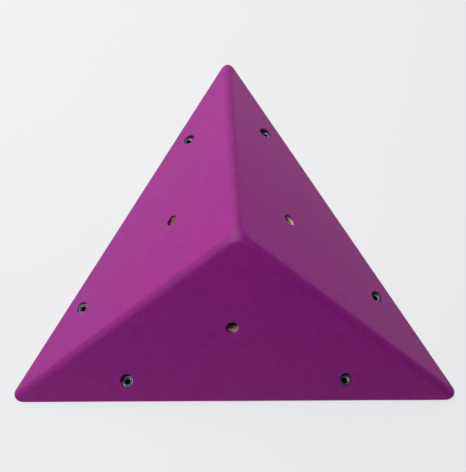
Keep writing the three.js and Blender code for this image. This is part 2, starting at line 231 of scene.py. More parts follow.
sides = [Side(name) for name in ("front", "right", "left")]
ridges = [(side, sides[(i + 1) % len(sides)]) for i, side in enumerate(sides)]
normals = [side.normal for side in sides]
core = meeting_point([side.plane(RIDGE_RADIUS) for side in sides])
sharp_peak = meeting_point([side.plane() for side in sides])


class Ferrule:
    """One wall-screw bore, upright, with its steel ring."""

    def __init__(self, node):
        low, high = (np.array(corner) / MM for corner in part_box(node))
        self.node = node
        self.place = (low + high) / 2
        self.bottom = low[2]
        self.top = high[2]
        self.width = high[0] - low[0]
        self.frame = matrix_of((1, 0, 0), (0, 1, 0), UP, (*self.place[:2], 0.0))


ferrules = [Ferrule(f"{side.name}_ferrule_{k}") for side in sides for k in (1, 2)]
# A front ferrule's facets are square to the frame, so its box is as wide as the ferrule
ferrule_radius = ferrules[0].width / 2
counterbore = 2 * (ferrule_radius + FERRULE_SIDE_CLEARANCE)
seat_height = ferrules[0].bottom - TOUCH_GAP

chance = np.random.default_rng(7)


class Screw:
    """A wood screw. In its own frame z is 0 under the head and points to the tip, out through the panel."""

    def __init__(self, node, side, size):
        low, _ = span(node, side.normal)
        across = sum(span(node, side.edge)) / 2
        up = sum(span(node, side.slope)) / 2
        seat = side.edge * across + side.slope * up + side.normal * (low + size["head_height"])
        self.node = node
        self.side = side
        self.size = size
        # Each screw stopped at its own angle when it was driven home
        spin = chance.uniform(0, math.tau)
        x = side.edge * math.cos(spin) + side.slope * math.sin(spin)
        self.frame = matrix_of(x, np.cross(side.normal, x), side.normal, seat)


tnut_screws = [Screw(f"{side.name}_tnut_screw_{k}", side, TNUT_SCREW) for side in sides for k in (1, 2, 3)]
batten_screws = [
    Screw(f"{first.name}_{second.name}_batten_screw_{side.name}_{k}", side, BATTEN_SCREW)
    for first, second in ridges
    for side in (first, second)
    for k in (1, 2)
]


def pilot(screw, bottom):
    """A hole for a screw's shank, as a cutter."""
    radius = screw.size["shank"] / 2 + TOUCH_GAP
    profile = [(radius, bottom), (radius, screw.size["length"] + TOUCH_GAP)]
    return bar("pilot", profile, SMALL_SIDES, screw.frame)


# Meshes

def new_mesh(name, points, faces):
    mesh = bpy.data.meshes.new(name)
    mesh.from_pydata((np.asarray(points, float) * MM).tolist(), [], faces)
    mesh.validate()
    return mesh


def grid_faces(rows, steps, wrap_rows):
    """Quads between rows of points that each go once round."""
    faces = []
    for row in range(rows if wrap_rows else rows - 1):
        below, above = row * steps, (row + 1) % rows * steps
        for k in range(steps):
            after = (k + 1) % steps
            faces.append((below + k, below + after, above + after, above + k))
    return faces


def turn_angles(steps):
    return np.linspace(0, math.tau, steps, endpoint=False)


def spun(radius, height, own, closed=True, tips=(False, False)):
    """A body turned round its own z axis. radius and height have one row per ring, and a row may vary round
    the ring. A closed body joins its last ring to its first; else an end may run to a tip on the axis."""
    radius, height = np.broadcast_arrays(np.asarray(radius, float), np.asarray(height, float))
    rows, steps = radius.shape
    angle = turn_angles(steps)
    local = np.stack([radius * np.cos(angle), radius * np.sin(angle), height], -1).reshape(-1, 3)
    faces = grid_faces(rows, steps, wrap_rows=closed)
    for end, wanted in enumerate(tips):
        row = 0 if end == 0 else rows - 1
        if not wanted:
            if not closed:
                ring = [row * steps + k for k in range(steps)]
                faces.append(tuple(reversed(ring)) if end == 0 else tuple(ring))
            continue
        tip = len(local)
        local = np.vstack([local, (0, 0, height[row].mean())])
        for k in range(steps):
            pair = (row * steps + k, row * steps + (k + 1) % steps)
            faces.append((*reversed(pair), tip) if end == 0 else (*pair, tip))
    placed = local @ own[:3, :3].T + own[:3, 3]
    return placed, faces


def profile_rings(profile, steps):
    """Rings for spun() from (radius, height) pairs."""
    pairs = np.array(profile, float)
    return np.repeat(pairs[:, :1], steps, 1), np.repeat(pairs[:, 1:], steps, 1)


def turned(name, profile, steps, own):
    """A closed profile, anticlockwise in radius and height, turned round the axis."""
    points, faces = spun(*profile_rings(profile, steps), own)
    return new_mesh(name, points, faces)


def bar(name, profile, steps, own):
    """A solid bar from (radius, height) pairs that climb, flat at both ends."""
    points, faces = spun(*profile_rings(profile, steps), own, closed=False)
    return new_mesh(name, points, faces)


def block(name, planes, arris):
    """What the planes leave of a big block, with its sharp arrises broken."""
    made = bmesh.new()
    bmesh.ops.create_cube(made, size=2.0)
    for normal, distance in planes:
        cut = bmesh.ops.bisect_plane(
            made,
            geom=made.verts[:] + made.edges[:] + made.faces[:],
            plane_co=Vector(normal) * distance * MM,
            plane_no=Vector(normal),
            dist=1e-7,
            clear_outer=True,
        )
        rim = [part for part in cut["geom_cut"] if isinstance(part, bmesh.types.BMEdge)]
        if len(rim) > 2:
            bmesh.ops.contextual_create(made, geom=rim)
    bmesh.ops.recalc_face_normals(made, faces=made.faces[:])
    sharp = [edge for edge in made.edges if edge.calc_face_angle(0.0) > math.radians(SHARP_EDGE)]
    bmesh.ops.bevel(made, geom=sharp, offset=arris * MM, segments=2, profile=0.5, affect="EDGES")
    mesh = bpy.data.meshes.new(name)
    made.to_mesh(mesh)
    made.free()
    return mesh


def outward(mesh):
    """The mesh with its faces turned outwards."""
    made = bmesh.new()
    made.from_mesh(mesh)
    bmesh.ops.recalc_face_normals(made, faces=made.faces[:])
    made.to_mesh(mesh)
    made.free()
    return mesh


def joined(name, meshes):
    """Several meshes as one."""
    made = bmesh.new()
    for mesh in meshes:
        made.from_mesh(mesh)
        bpy.data.meshes.remove(mesh)
    mesh = bpy.data.meshes.new(name)
    made.to_mesh(mesh)
    made.free()
    return mesh


def in_scene(name, data):
    """A new object, linked to the scene."""
    made = bpy.data.objects.new(name, data)
    bpy.context.scene.collection.objects.link(made)
    return made


def carved(name, body, cutters):
    """The body with the cutters taken out of it."""
    helpers = [in_scene(name + "_body", body)]
    for cutter in cutters:
        helpers.append(in_scene(name + "_cutter", cutter))
        cut = helpers[0].modifiers.new("cut", "BOOLEAN")
        cut.operation, cut.solver, cut.object = "DIFFERENCE", "EXACT", helpers[-1]
    bpy.context.view_layer.update()
    shaped = helpers[0].evaluated_get(bpy.context.evaluated_depsgraph_get())
    mesh = bpy.data.meshes.new_from_object(shaped)
    mesh.name = name
    for helper in helpers:
        bpy.data.objects.remove(helper)
    return mesh


def piece(name, mesh, material, own=None, smooth=None, stands_for=()):
    """A finished piece. Its places in its own frame go with the mesh, for its material to read. smooth is the
    angle in degrees up to which an edge is shaded smooth."""
    own = np.identity(4) if own is None else own
    count = len(mesh.vertices)
    flat = np.empty(count * 3)
    mesh.vertices.foreach_get("co", flat)
    local = (flat.reshape(-1, 3) / MM - own[:3, 3]) @ own[:3, :3]
    mesh.attributes.new("own_place", "FLOAT_VECTOR", "POINT").data.foreach_set("vector", local.ravel())
    mesh.shade_smooth()
    if smooth is not None:
        mesh.set_sharp_from_angle(angle=math.radians(smooth))
    mesh.materials.clear()
    mesh.materials.append(material)
    made = in_scene(name, mesh)
    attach(made, "root")
    if stands_for:
        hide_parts(*stands_for)
    return made


# Materials

def linear(code):
    """An sRGB hex colour in linear light."""
    channels = [int(code[i : i + 2], 16) / 255 for i in (1, 3, 5)]
    return (*(c / 12.92 if c <= 0.04045 else ((c + 0.055) / 1.055) ** 2.4 for c in channels), 1.0)


def wire(tree, node, inputs):
    """Gives a node its inputs: another node's output is linked, and any other is a value."""
    for key, value in inputs.items():
        if isinstance(value, bpy.types.NodeSocket):
            tree.links.new(value, node.inputs[key])
        else:
            node.inputs[key].default_value = value


def add(tree, kind, inputs=None, out=0, colours=(), **settings):
    """Adds one node and gives back one of its outputs. The colours of a ramp are (place, hex) pairs. A Map
    Range takes what lies between its inputs 1 and 2 to between its inputs 3 and 4."""
    made = tree.nodes.new("ShaderNode" + kind)
    for name, value in settings.items():
        setattr(made, name, value)
    wire(tree, made, inputs or {})
    for k, (place, code) in enumerate(colours):
        elements = made.color_ramp.elements
        element = elements[k] if k < len(elements) else elements.new(place)
        element.position = place
        element.color = linear(code)
    return made.outputs[out]


def new_material(name):
    made = bpy.data.materials.new(name)
    made.use_nodes = True
    return made, made.node_tree, made.node_tree.nodes["Principled BSDF"]


def off_axis(tree, place):
    """How far a place is from the z axis."""
    across = add(tree, "VectorMath", {0: place, 1: (1.0, 1.0, 0.0)}, operation="MULTIPLY")
    return add(tree, "VectorMath", {0: across}, out="Value", operation="LENGTH")


def sanded_paint():
    """Acrylic volume paint with fine silica sand, sprayed. Half matt and deep in colour, with a fine grain,
    slow thick and thin of the colour, and a pale veil where bright surroundings are met at a low angle."""
    made, tree, shader = new_material("sanded_acrylic_paint")
    place = add(tree, "TexCoord", out="Object")
    # Sand of 0.3 mm lies in clumps; they are drawn at 2 mm and single grains at 1.1 mm, so that they show
    clumps = {"Vector": place, "Scale": 1 / (2 * MM), "Detail": 3.0, "Roughness": 0.6}
    sand = add(tree, "TexNoise", clumps)
    grit = add(tree, "TexVoronoi", {"Vector": place, "Scale": 1 / (1.1 * MM)})
    # Passes of the spray gun, about 60 mm wide
    drift = add(tree, "TexNoise", {"Vector": place, "Scale": 1 / (60 * MM), "Detail": 2.0})
    # Thin and thick spots, about 7 mm
    patch = add(tree, "TexNoise", {"Vector": place, "Scale": 1 / (7 * MM), "Detail": 2.0})
    hue = add(tree, "ValToRGB", {"Fac": drift}, colours=[(0.3, "#8D0A7A"), (0.7, "#910A78")])
    shade = add(tree, "MapRange", {"Value": sand, 1: 0.3, 2: 0.7, 3: 0.85, 4: 1.15})
    mottle = add(tree, "MapRange", {"Value": patch, 1: 0.3, 2: 0.7, 3: 0.92, 4: 1.08})
    both = add(tree, "Math", {0: shade, 1: mottle}, operation="MULTIPLY")
    colour = add(tree, "VectorMath", {0: hue, "Scale": both}, operation="SCALE")
    # The ridges are painted darker, a painted shade on the rounding between the faces, in patches about 12 mm
    # long; they are also rougher there
    rubbed = add(tree, "Attribute", out="Fac", attribute_name="rubbed")
    shade_patches = add(tree, "TexNoise", {"Vector": place, "Scale": 1 / (12 * MM), "Detail": 4.0})
    much = add(tree, "MapRange", {"Value": shade_patches, 1: 0.3, 2: 0.7, 3: 0.12, 4: 0.36})
    dull = add(tree, "Math", {0: rubbed, 1: much}, operation="MULTIPLY")
    ridge_darkening = {"Factor": dull, "A": colour, "B": linear("#5A1450")}
    ridge_shaded = add(tree, "Mix", ridge_darkening, out="Result", data_type="RGBA")
    rough = add(tree, "MapRange", {"Value": sand, 1: 0.3, 2: 0.7, 3: 0.44, 4: 0.56})
    blunt = add(tree, "Math", {0: dull, 1: 0.35, 2: rough}, operation="MULTIPLY_ADD")
    coarse = add(tree, "Bump", {"Strength": 0.5, "Distance": 0.25 * MM, "Height": sand})
    fine = add(tree, "Bump", {"Strength": 0.35, "Distance": 0.12 * MM, "Height": grit, "Normal": coarse})
    wire(tree, shader, {"Base Color": ridge_shaded, "Roughness": blunt, "Normal": fine})
    wire(tree, shader, {"IOR": 1.49, "Specular IOR Level": 0.37})
    return made


def birch_plywood():
    """Birch plywood, 13 plies in 18 mm, sawn and drilled. Pale bands of long grain and browner bands of end
    grain, parted by thin dark glue lines; the face veneer has a faint rotary-cut figure."""
    made, tree, shader = new_material("birch_plywood")
    place = add(tree, "Attribute", out="Vector", attribute_name="own_place")
    above = add(tree, "SeparateXYZ", {"Vector": place}, out="Z")
    # The face veneers are sanded a little thinner than the plies between them
    depth = add(tree, "Math", {0: above, 1: -12.6 / 18, 2: 0.2}, operation="MULTIPLY_ADD")
    wave = add(tree, "TexNoise", {"Vector": place, "Scale": 1 / 25, "Detail": 1.0})
    lift = add(tree, "MapRange", {"Value": wave, 1: 0.3, 2: 0.7, 3: -0.06, 4: 0.06})
    ply = add(tree, "Math", {0: depth, 1: lift}, operation="ADD")
    pair = add(tree, "Math", {0: ply, 1: 2.0}, operation="FLOORED_MODULO")
    crossed = add(tree, "Math", {0: pair, 1: 1.0}, operation="GREATER_THAN")
    within = add(tree, "Math", {0: ply}, operation="FRACT")
    off_middle = add(tree, "Math", {0: within, 1: 0.5}, operation="SUBTRACT")
    away = add(tree, "Math", {0: off_middle}, operation="ABSOLUTE")
    # A glue line is 0.1 mm; it is drawn 0.2 mm wide with soft edges, so that it shows
    glue = add(tree, "MapRange", {"Value": away, 1: 0.43, 2: 0.49, 3: 0.0, 4: 0.75})
    # Fibres are about 0.5 mm apart and 25 mm long, and turn by a right angle from ply to ply
    streaks = []
    for stretch in ((1 / 25, 2, 2), (2, 1 / 25, 2)):
        drawn = add(tree, "VectorMath", {0: place, 1: stretch}, operation="MULTIPLY")
        streaks.append(add(tree, "TexNoise", {"Vector": drawn, "Scale": 1.0, "Detail": 4.0}))
    fibre = add(tree, "Mix", {"Factor": crossed, "A": streaks[0], "B": streaks[1]}, out="Result")
    long_grain = [(0.25, "#D6AC82"), (0.5, "#E8C8A0"), (0.75, "#F2DBBE")]
    end_grain = [(0.25, "#B58659"), (0.5, "#CFA478"), (0.75, "#DEBA92")]
    pale = add(tree, "ValToRGB", {"Fac": fibre}, colours=long_grain)
    brown = add(tree, "ValToRGB", {"Fac": fibre}, colours=end_grain)
    bands = add(tree, "Mix", {"Factor": crossed, "A": pale, "B": brown}, out="Result", data_type="RGBA")
    # The bore's wall is painted darker and browner the deeper it goes, a painted shade in the bore
    reach = off_axis(tree, place)
    wall = HOLD_BORE / 2
    near = add(tree, "MapRange", {"Value": reach, 1: wall + 0.1, 2: wall + 0.5, 3: 1.0, 4: 0.0})
    deep = add(tree, "MapRange", {"Value": above, 1: -3.0, 2: -10.0, 3: 0.25, 4: 0.85})
    bore_wall_shade = add(tree, "Math", {0: near, 1: deep}, operation="MULTIPLY")
    bore_wall_darkening = {"Factor": bore_wall_shade, "A": bands, "B": linear("#84432F")}
    bands = add(tree, "Mix", bore_wall_darkening, out="Result", data_type="RGBA")
    # Rotary-cut figure, waves about 14 mm apart
    figure = add(tree, "VectorMath", {0: place, 1: (1 / 60, 1 / 14, 1 / 14)}, operation="MULTIPLY")
    figure = add(tree, "TexNoise", {"Vector": figure, "Scale": 1.0, "Detail": 2.0, "Distortion": 1.2})
    tone = add(tree, "MapRange", {"Value": figure, 1: 0.3, 2: 0.7, 3: 0.9, 4: 1.06})
    toned = add(tree, "VectorMath", {0: bands, "Scale": tone}, operation="SCALE")
    lines = {"Factor": glue, "A": toned, "B": linear("#6B4526")}
    glued = add(tree, "Mix", lines, out="Result", data_type="RGBA")
    bump = add(tree, "Bump", {"Strength": 0.3, "Distance": 0.15 * MM, "Height": fibre})
    rough = add(tree, "MapRange", {"Value": fibre, 1: 0.3, 2: 0.7, 3: 0.72, 4: 0.6})
    wire(tree, shader, {"Base Color": glued, "Roughness": rough, "Normal": bump})
    wire(tree, shader, {"IOR": 1.5, "Specular IOR Level": 0.3})
    return made


def planed_spruce():
    """Spruce, planed, with its arrises broken by sandpaper. Straw-coloured early wood between narrow
    amber late-wood lines that run along the batten."""
    made, tree, shader = new_material("planed_spruce")
    place = add(tree, "Attribute", out="Vector", attribute_name="own_place")
    # The tree's heart lies outside the batten, and growth rings are about 2.6 mm wide
    heart = add(tree, "VectorMath", {0: place, 1: (34.0, 52.0, 0.0)}, operation="ADD")
    reach = off_axis(tree, heart)
    warp = add(tree, "VectorMath", {0: place, 1: (1 / 40, 1 / 40, 1 / 180)}, operation="MULTIPLY")
    warp = add(tree, "TexNoise", {"Vector": warp, "Scale": 1.0, "Detail": 2.0})
    radius = add(tree, "Math", {0: warp, 1: 9.0, 2: reach}, operation="MULTIPLY_ADD")
    rings = add(tree, "Math", {0: radius, 1: 1 / 2.6}, operation="MULTIPLY")
    year = add(tree, "Math", {0: rings}, operation="FRACT")
    seasons = [(0.0, "#E6CC9A"), (0.55, "#DDBB82"), (0.88, "#B98549"), (1.0, "#DDBE8A")]
    wood = add(tree, "ValToRGB", {"Fac": year}, colours=seasons)
    thin = add(tree, "VectorMath", {0: place, 1: (3.0, 3.0, 1 / 12)}, operation="MULTIPLY")
    fibre = add(tree, "TexNoise", {"Vector": thin, "Scale": 1.0, "Detail": 3.0})
    tone = add(tree, "MapRange", {"Value": fibre, 1: 0.3, 2: 0.7, 3: 0.93, 4: 1.05})
    toned = add(tree, "VectorMath", {0: wood, "Scale": tone}, operation="SCALE")
    bump = add(tree, "Bump", {"Strength": 0.25, "Distance": 0.1 * MM, "Height": fibre})
    rough = add(tree, "MapRange", {"Value": year, 1: 0.4, 2: 0.9, 3: 0.68, 4: 0.52})
    wire(tree, shader, {"Base Color": toned, "Roughness": rough, "Normal": bump})
    wire(tree, shader, {"IOR": 1.5, "Specular IOR Level": 0.35})
    return made


def plated_steel(name, dark, light, patch, rough, turning=0.0, shaded_radius=0.0):
    """Shared by the metal finishes: mottled plating and fine scratches. Turning is how far apart tool rings
    are, and within the shaded radius the bore is painted near black, a painted shade."""
    made, tree, shader = new_material(name)
    place = add(tree, "Attribute", out="Vector", attribute_name="own_place")
    cloud = add(tree, "TexNoise", {"Vector": place, "Scale": 1 / patch, "Detail": 3.0})
    colour = add(tree, "ValToRGB", {"Fac": cloud}, colours=[(0.3, dark), (0.7, light)])
    reach = off_axis(tree, place)
    # Inside the shaded radius the bore is painted near black, a painted shade
    if shaded_radius:
        bore_shade_mask = add(tree, "MapRange", {"Value": reach, 1: shaded_radius - 0.1, 2: shaded_radius + 0.1, 3: 1.0, 4: 0.0})
        bore_darkening = {"Factor": bore_shade_mask, "A": colour, "B": linear("#17120F")}
        colour = add(tree, "Mix", bore_darkening, out="Result", data_type="RGBA")
    dull = add(tree, "MapRange", {"Value": cloud, 1: 0.3, 2: 0.7, 3: rough + 0.08, 4: rough - 0.06})
    # Scratches are about 0.35 mm apart
    grain = add(tree, "TexNoise", {"Vector": place, "Scale": 1 / 0.35, "Detail": 2.0})
    bump = add(tree, "Bump", {"Strength": 0.1, "Distance": 0.04 * MM, "Height": grain})
    if turning:
        groove = add(tree, "Math", {0: reach, 1: math.tau / turning}, operation="MULTIPLY")
        groove = add(tree, "Math", {0: groove}, operation="SINE")
        cut = {"Strength": 0.2, "Distance": 0.03 * MM, "Height": groove, "Normal": bump}
        bump = add(tree, "Bump", cut)
    wire(tree, shader, {"Base Color": colour, "Roughness": dull, "Normal": bump, "Metallic": 1.0})
    return made


def zinc_plate():
    """Pressed steel, zinc plated: cool grey-white, half bright, with a faint cloudy bloom. Its thread is
    painted near black, a painted shade."""
    return plated_steel("zinc_plated_steel", "#8A9196", "#B0B6BA", patch=3.0, rough=0.36, shaded_radius=4.8)


def grey_steel():
    """Turned steel, phosphated: blue-grey and satin. Tool rings are 0.12 mm apart; they are drawn at 0.4 mm
    so that they show."""
    # Its bore is painted near black, a painted shade in the throat
    finish = {"patch": 2.2, "rough": 0.4, "turning": 0.4, "shaded_radius": 2.85}
    return plated_steel("phosphated_turned_steel", "#53505D", "#6F6C79", **finish)


def yellow_zinc():
    """Rolled screws, yellow zinc plated: straw gold with a faint pink and green cast."""
    return plated_steel("yellow_zinc_plated_steel", "#B79A5B", "#D6C38C", patch=1.6, rough=0.34)


paint = sanded_paint()
plywood = birch_plywood()
spruce = planed_spruce()
zinc = zinc_plate()
ferrule_steel = grey_steel()
screw_zinc = yellow_zinc()


# Painted coat

def directions_between(vectors, steps):
    """Directions that fill the corner between three vectors, as a triangle of rows."""
    made = []
    for i in range(steps + 1):
        for j in range(steps + 1 - i):
            made.append(unit(vectors[0] * i + vectors[1] * j + vectors[2] * (steps - i - j)))
    return made


def surface(plan):
    """Height of the painted surface over plan points, and the direction that it faces. Three flat faces meet
    in rounded ridges and a rounded peak."""
    plan = np.asarray(plan, float).reshape(-1, 2)
    offset = plan - core[:2]
    heights = np.stack([(RIDGE_RADIUS - offset @ normal[:2]) / normal[2] for normal in normals])
    lowest = heights.argmin(0)
    height = heights.min(0)
    facing = np.array(normals)[lowest]
    for first, second in ridges:
        turn = np.cross(first.normal, second.normal)
        down = -unit(turn)
        along = offset @ down[:2]
        square = 1 - down[2] ** 2
        half = down[2] * along
        rest = (offset**2).sum(1) - along**2 - RIDGE_RADIUS**2
        root = half**2 - square * rest
        rise = (half + np.sqrt(np.maximum(root, 0))) / square
        local = np.column_stack([offset, rise])
        station = local @ down
        out = (local - station[:, None] * down) / RIDGE_RADIUS
        rounded = (root >= 0) & (station >= 0)
        rounded &= (np.cross(first.normal, out) @ turn >= 0) & (np.cross(out, second.normal) @ turn >= 0)
        height = np.where(rounded, rise, height)
        facing = np.where(rounded[:, None], out, facing)
    root = RIDGE_RADIUS**2 - (offset**2).sum(1)
    rise = np.sqrt(np.maximum(root, 0))
    out = np.column_stack([offset, rise]) / RIDGE_RADIUS
    capped = root > 0
    for first, second in ridges:
        capped &= out @ np.cross(first.normal, second.normal) >= 0
    height = np.where(capped, rise, height)
    facing = np.where(capped[:, None], out, facing)
    # The sanded peak is a shallow cap that lies under the rounding
    reach, flank = np.linalg.norm(offset, axis=1), PEAK_SLOPE * PEAK_RADIUS
    drop = np.where(reach < flank, reach**2 / (2 * PEAK_RADIUS), PEAK_SLOPE * (reach - flank / 2))
    cap = RIDGE_RADIUS - PEAK_WEAR - drop
    blend = np.clip(0.5 + (height - cap) / (2 * PEAK_BLEND), 0, 1)
    sanded = height * (1 - blend) + cap * blend - PEAK_BLEND * blend * (1 - blend)
    return sanded + core[2], facing


def on_surface(plan):
    height, _ = surface(plan)
    return np.column_stack([np.asarray(plan).reshape(-1, 2), height])


def corner_centre(before, after, inset):
    """Where two base edges, each moved in, cross in plan."""
    rows = [before.inward[:2], after.inward[:2]]
    return np.linalg.solve(rows, [before.foot_line + inset, after.foot_line + inset])


def base_outline():
    """Points round the base, with rounded corners, and the way out at each."""
    anchors, outs = [], []
    for before, after in ridges:
        centre = corner_centre(before, after, CORNER_RADIUS)
        start = math.atan2(-before.inward[1], -before.inward[0])
        end = math.atan2(-after.inward[1], -after.inward[0])
        end += math.tau if end < start else 0
        for angle in np.linspace(start, end, ROUNDING_STEPS + 1):
            out = np.array((math.cos(angle), math.sin(angle)))
            anchors.append(centre + out * CORNER_RADIUS)
            outs.append(out)
        following = ridges[(ridges.index((before, after)) + 1) % len(ridges)]
        goal = corner_centre(*following, CORNER_RADIUS) - after.inward[:2] * CORNER_RADIUS
        leg = goal - anchors[-1]
        count = round(np.linalg.norm(leg) / OUTLINE_STEP)
        first = anchors[-1]
        for k in range(1, count):
            anchors.append(first + leg * k / count)
            outs.append(-after.inward[:2])
    return np.array(anchors), np.array(outs)


def rolled(start, corner, end):
    """Rows of points that round a corner, from start to end, without the start."""
    rows = []
    for t in np.linspace(0, 1, ROLL_STEPS + 1)[1:]:
        rows.append((1 - t) ** 2 * start + 2 * t * (1 - t) * corner + t**2 * end)
    return rows


def straight_down(row, level, count):
    """Rows of points straight down from a row to a level, without that row."""
    rows = []
    for k in range(1, count + 1):
        lower = row.copy()
        lower[:, 2] += (level - row[:, 2]) * (k / count)
        rows.append(lower)
    return rows


def foot_rim(anchors, outs):
    """Rows of points from the slope over the foot's edge and down to the wall."""
    start = on_surface(anchors - outs * FOOT_ROLL)
    corner = on_surface(anchors)
    end = corner - UP * FOOT_ROLL
    return [start, *rolled(start, corner, end), *straight_down(end, PAINT_FOOT, 2)]


def hold_rim(side):
    """Rows of points from a face into its hand-hold bore, where the paint ends in a ragged edge."""
    angle = turn_angles(BORE_SIDES)
    ray = np.outer(np.cos(angle), side.edge) + np.outer(np.sin(angle), side.slope)
    radius = HOLD_BORE / 2 - PAINT_SIDE
    start = side.mouth + ray * (radius + BORE_ROLL)
    corner = side.mouth + ray * radius
    end = corner - side.normal * BORE_ROLL
    wobble = np.array([noise.noise(Vector(point) / PAINT_WAVE) for point in corner])
    depth = PAINT_DEPTH + PAINT_RAGGED * wobble + SPRAY_DEPTH * ray @ unit(SPRAY_WAY)
    depth = np.maximum(depth, BORE_ROLL + PAINT_SIDE)
    return [start, *rolled(start, corner, end), corner - np.outer(depth, side.normal)]


def ferrule_rim(ferrule):
    """Rows of points from a face down the counterbore to the steel ring."""
    angle = turn_angles(BORE_SIDES)
    ray = np.column_stack([np.cos(angle), np.sin(angle)])
    radius = counterbore / 2 - PAINT_SIDE
    start = on_surface(ferrule.place[:2] + ray * (radius + BORE_ROLL))
    corner = on_surface(ferrule.place[:2] + ray * radius)
    end = corner - UP * BORE_ROLL
    return [start, *rolled(start, corner, end), *straight_down(end, ferrule.top - 2 * TOUCH_GAP, 3)]


def ridge_points(limit):
    """Points along the rounding of each ridge, in rows across it, and over the peak."""
    made = [core + RIDGE_RADIUS * out for out in directions_between(normals, ROUNDING_STEPS)]
    for first, second in ridges:
        down = -unit(np.cross(first.normal, second.normal))
        for station in np.arange(OUTLINE_STEP, limit, OUTLINE_STEP):
            for k in range(ROUNDING_STEPS + 1):
                share = k / ROUNDING_STEPS
                out = unit(first.normal * (1 - share) + second.normal * share)
                made.append(core + RIDGE_RADIUS * out + station * down)
    return np.array(made)[:, :2]


def grid_points(low, high):
    """A grid of even triangles over a plan box."""
    rows = []
    for j, y in enumerate(np.arange(low[1], high[1], FACE_STEP * math.sqrt(3) / 2)):
        shift = FACE_STEP / 2 * (j % 2)
        rows += [(x + shift, y) for x in np.arange(low[0], high[0], FACE_STEP)]
    return np.array(rows)


def clear_of(points, tree, least):
    """Those points that keep at least that distance from all in the tree."""
    far = [tree.find((x, y, 0))[2] > least for x, y in points]
    return points[np.array(far)]


def tree_of(points):
    made = kdtree.KDTree(len(points))
    for i, (x, y) in enumerate(points):
        made.insert((x, y, 0), i)
    made.balance()
    return made


def inside(points, ring):
    """Which plan points lie inside a closed ring."""
    x, y = points[:, 0], points[:, 1]
    hit = np.zeros(len(points), bool)
    for (x0, y0), (x1, y1) in zip(ring, np.roll(ring, -1, 0)):
        crosses = (y0 > y) != (y1 > y)
        hit ^= crosses & (x < (x1 - x0) * (y - y0) / ((y1 - y0) or 1) + x0)
    return hit


def plan_points(rings, anchors, outs):
    """Plan points of the coat: the rims' first rows, rings round the bores, rows along the foot, the ridges,
    then the open faces."""
    plan = np.vstack(rings)
    for ring in rings[1:]:
        middle = ring.mean(0)
        for growth, skip in BORE_RINGS:
            plan = np.vstack([plan, middle + (ring[::skip] - middle) * growth])
    for inset, skip in FOOT_ROWS:
        plan = np.vstack([plan, anchors[::skip] - outs[::skip] * (FOOT_ROLL + inset)])
    ridge = ridge_points((cad_box[1] - cad_box[0]).length / MM)
    ridge = ridge[inside(ridge, rings[0])]
    plan = np.vstack([plan, clear_of(ridge, tree_of(np.vstack(rings)), RIM_CLEARANCE)])
    grid = grid_points(anchors.min(0), anchors.max(0))
    grid = grid[inside(grid, rings[0])]
    return np.vstack([plan, clear_of(grid, tree_of(plan), GRID_CLEARANCE)])


def triangulated(plan, rings):
    """Triangles between the foot's ring and the bores' rings. Gives the plan points in a new order, the
    triangles, and the new number of each old point."""
    edges, start = [], 0
    for ring in rings:
        count = len(ring)
        edges += [(start + k, start + (k + 1) % count) for k in range(count)]
        start += count
    found = delaunay_2d_cdt([Vector(point) for point in plan], edges, [], 0, 1e-6, True)
    flat, triangles, origins = np.array(found[0]), found[2], found[3]
    centres = np.array([flat[list(t)].mean(0) for t in triangles])
    keep = inside(centres, rings[0])
    for ring in rings[1:]:
        keep &= ~inside(centres, ring)
    # The outline's straight runs also get slivers that have no width
    a, b, c = (flat[[t[k] for t in triangles]] for k in range(3))
    keep &= np.abs(np.cross(b - a, c - a)) / 2 > SLIVER
    faces = [tuple(t) for t, wanted in zip(triangles, keep) if wanted]
    return flat, faces, {old: new for new, olds in enumerate(origins) for old in olds}


def skin_of(rims, anchors, outs):
    """The coat's points, the way that each is turned, and its faces: open slopes with the rims hung on."""
    rings = [rim[0][:, :2] for rim in rims]
    flat, faces, numbers = triangulated(plan_points(rings, anchors, outs), rings)
    height, facing = surface(flat)
    points = np.column_stack([flat, height])
    start = 0
    for rim in rims:
        count = len(rim[0])
        above = [numbers[start + k] for k in range(count)]
        start += count
        way = facing[above]
        for row in rim[1:]:
            below = list(range(len(points), len(points) + count))
            points = np.vstack([points, row])
            facing = np.vstack([facing, way])
            for k in range(count):
                after = (k + 1) % count
                faces.append((above[k], above[after], below[after], below[k]))
            above = below
    return points, facing, faces


def coat_mesh(points, facing, faces):
    """The coat as a mesh. Each point keeps how much painted shade the ridges get there: most where it has
    turned away from the flat faces."""
    made = bmesh.new()
    rubbed = made.verts.layers.float.new("rubbed")
    verts = [made.verts.new(point * MM) for point in points]
    straight = (facing @ np.transpose(normals)).max(1)
    for vert, nearest in zip(verts, straight):
        vert[rubbed] = min(1.0, (1 - nearest) / (1 - math.cos(math.radians(RIDGE_SHADE_FROM))))
    for face in faces:
        made.faces.new([verts[i] for i in face])
    loose = [vert for vert in made.verts if not vert.link_faces]
    bmesh.ops.delete(made, geom=loose, context="VERTS")
    bmesh.ops.recalc_face_normals(made, faces=made.faces[:])
    if sum(face.normal.z * face.calc_area() for face in made.faces) < 0:
        bmesh.ops.reverse_faces(made, faces=made.faces[:])
    mesh = bpy.data.meshes.new("paint_coat")
    made.to_mesh(mesh)
    made.free()
    return mesh


def paint_coat():
    """One skin of paint over all three panels, rolled into every bore and over the foot's edge."""
    anchors, outs = base_outline()
    rims = [foot_rim(anchors, outs)]
    rims += [hold_rim(side) for side in sides]
    rims += [ferrule_rim(ferrule) for ferrule in ferrules]
    points, facing, faces = skin_of(rims, anchors, outs)
    swell = np.array([noise.noise(Vector(point) / SWELL_LENGTH) for point in points])
    points = points + facing * (swell * PAINT_SWELL)[:, None]
    points[:, 2] = np.maximum(points[:, 2], PAINT_FOOT)
    coat = piece("paint_coat", coat_mesh(points, facing, faces), paint)
    skin = coat.modifiers.new("thickness", "SOLIDIFY")
    skin.thickness, skin.offset = PAINT_THICKNESS * MM, -1.0
    return coat


# Plywood panels

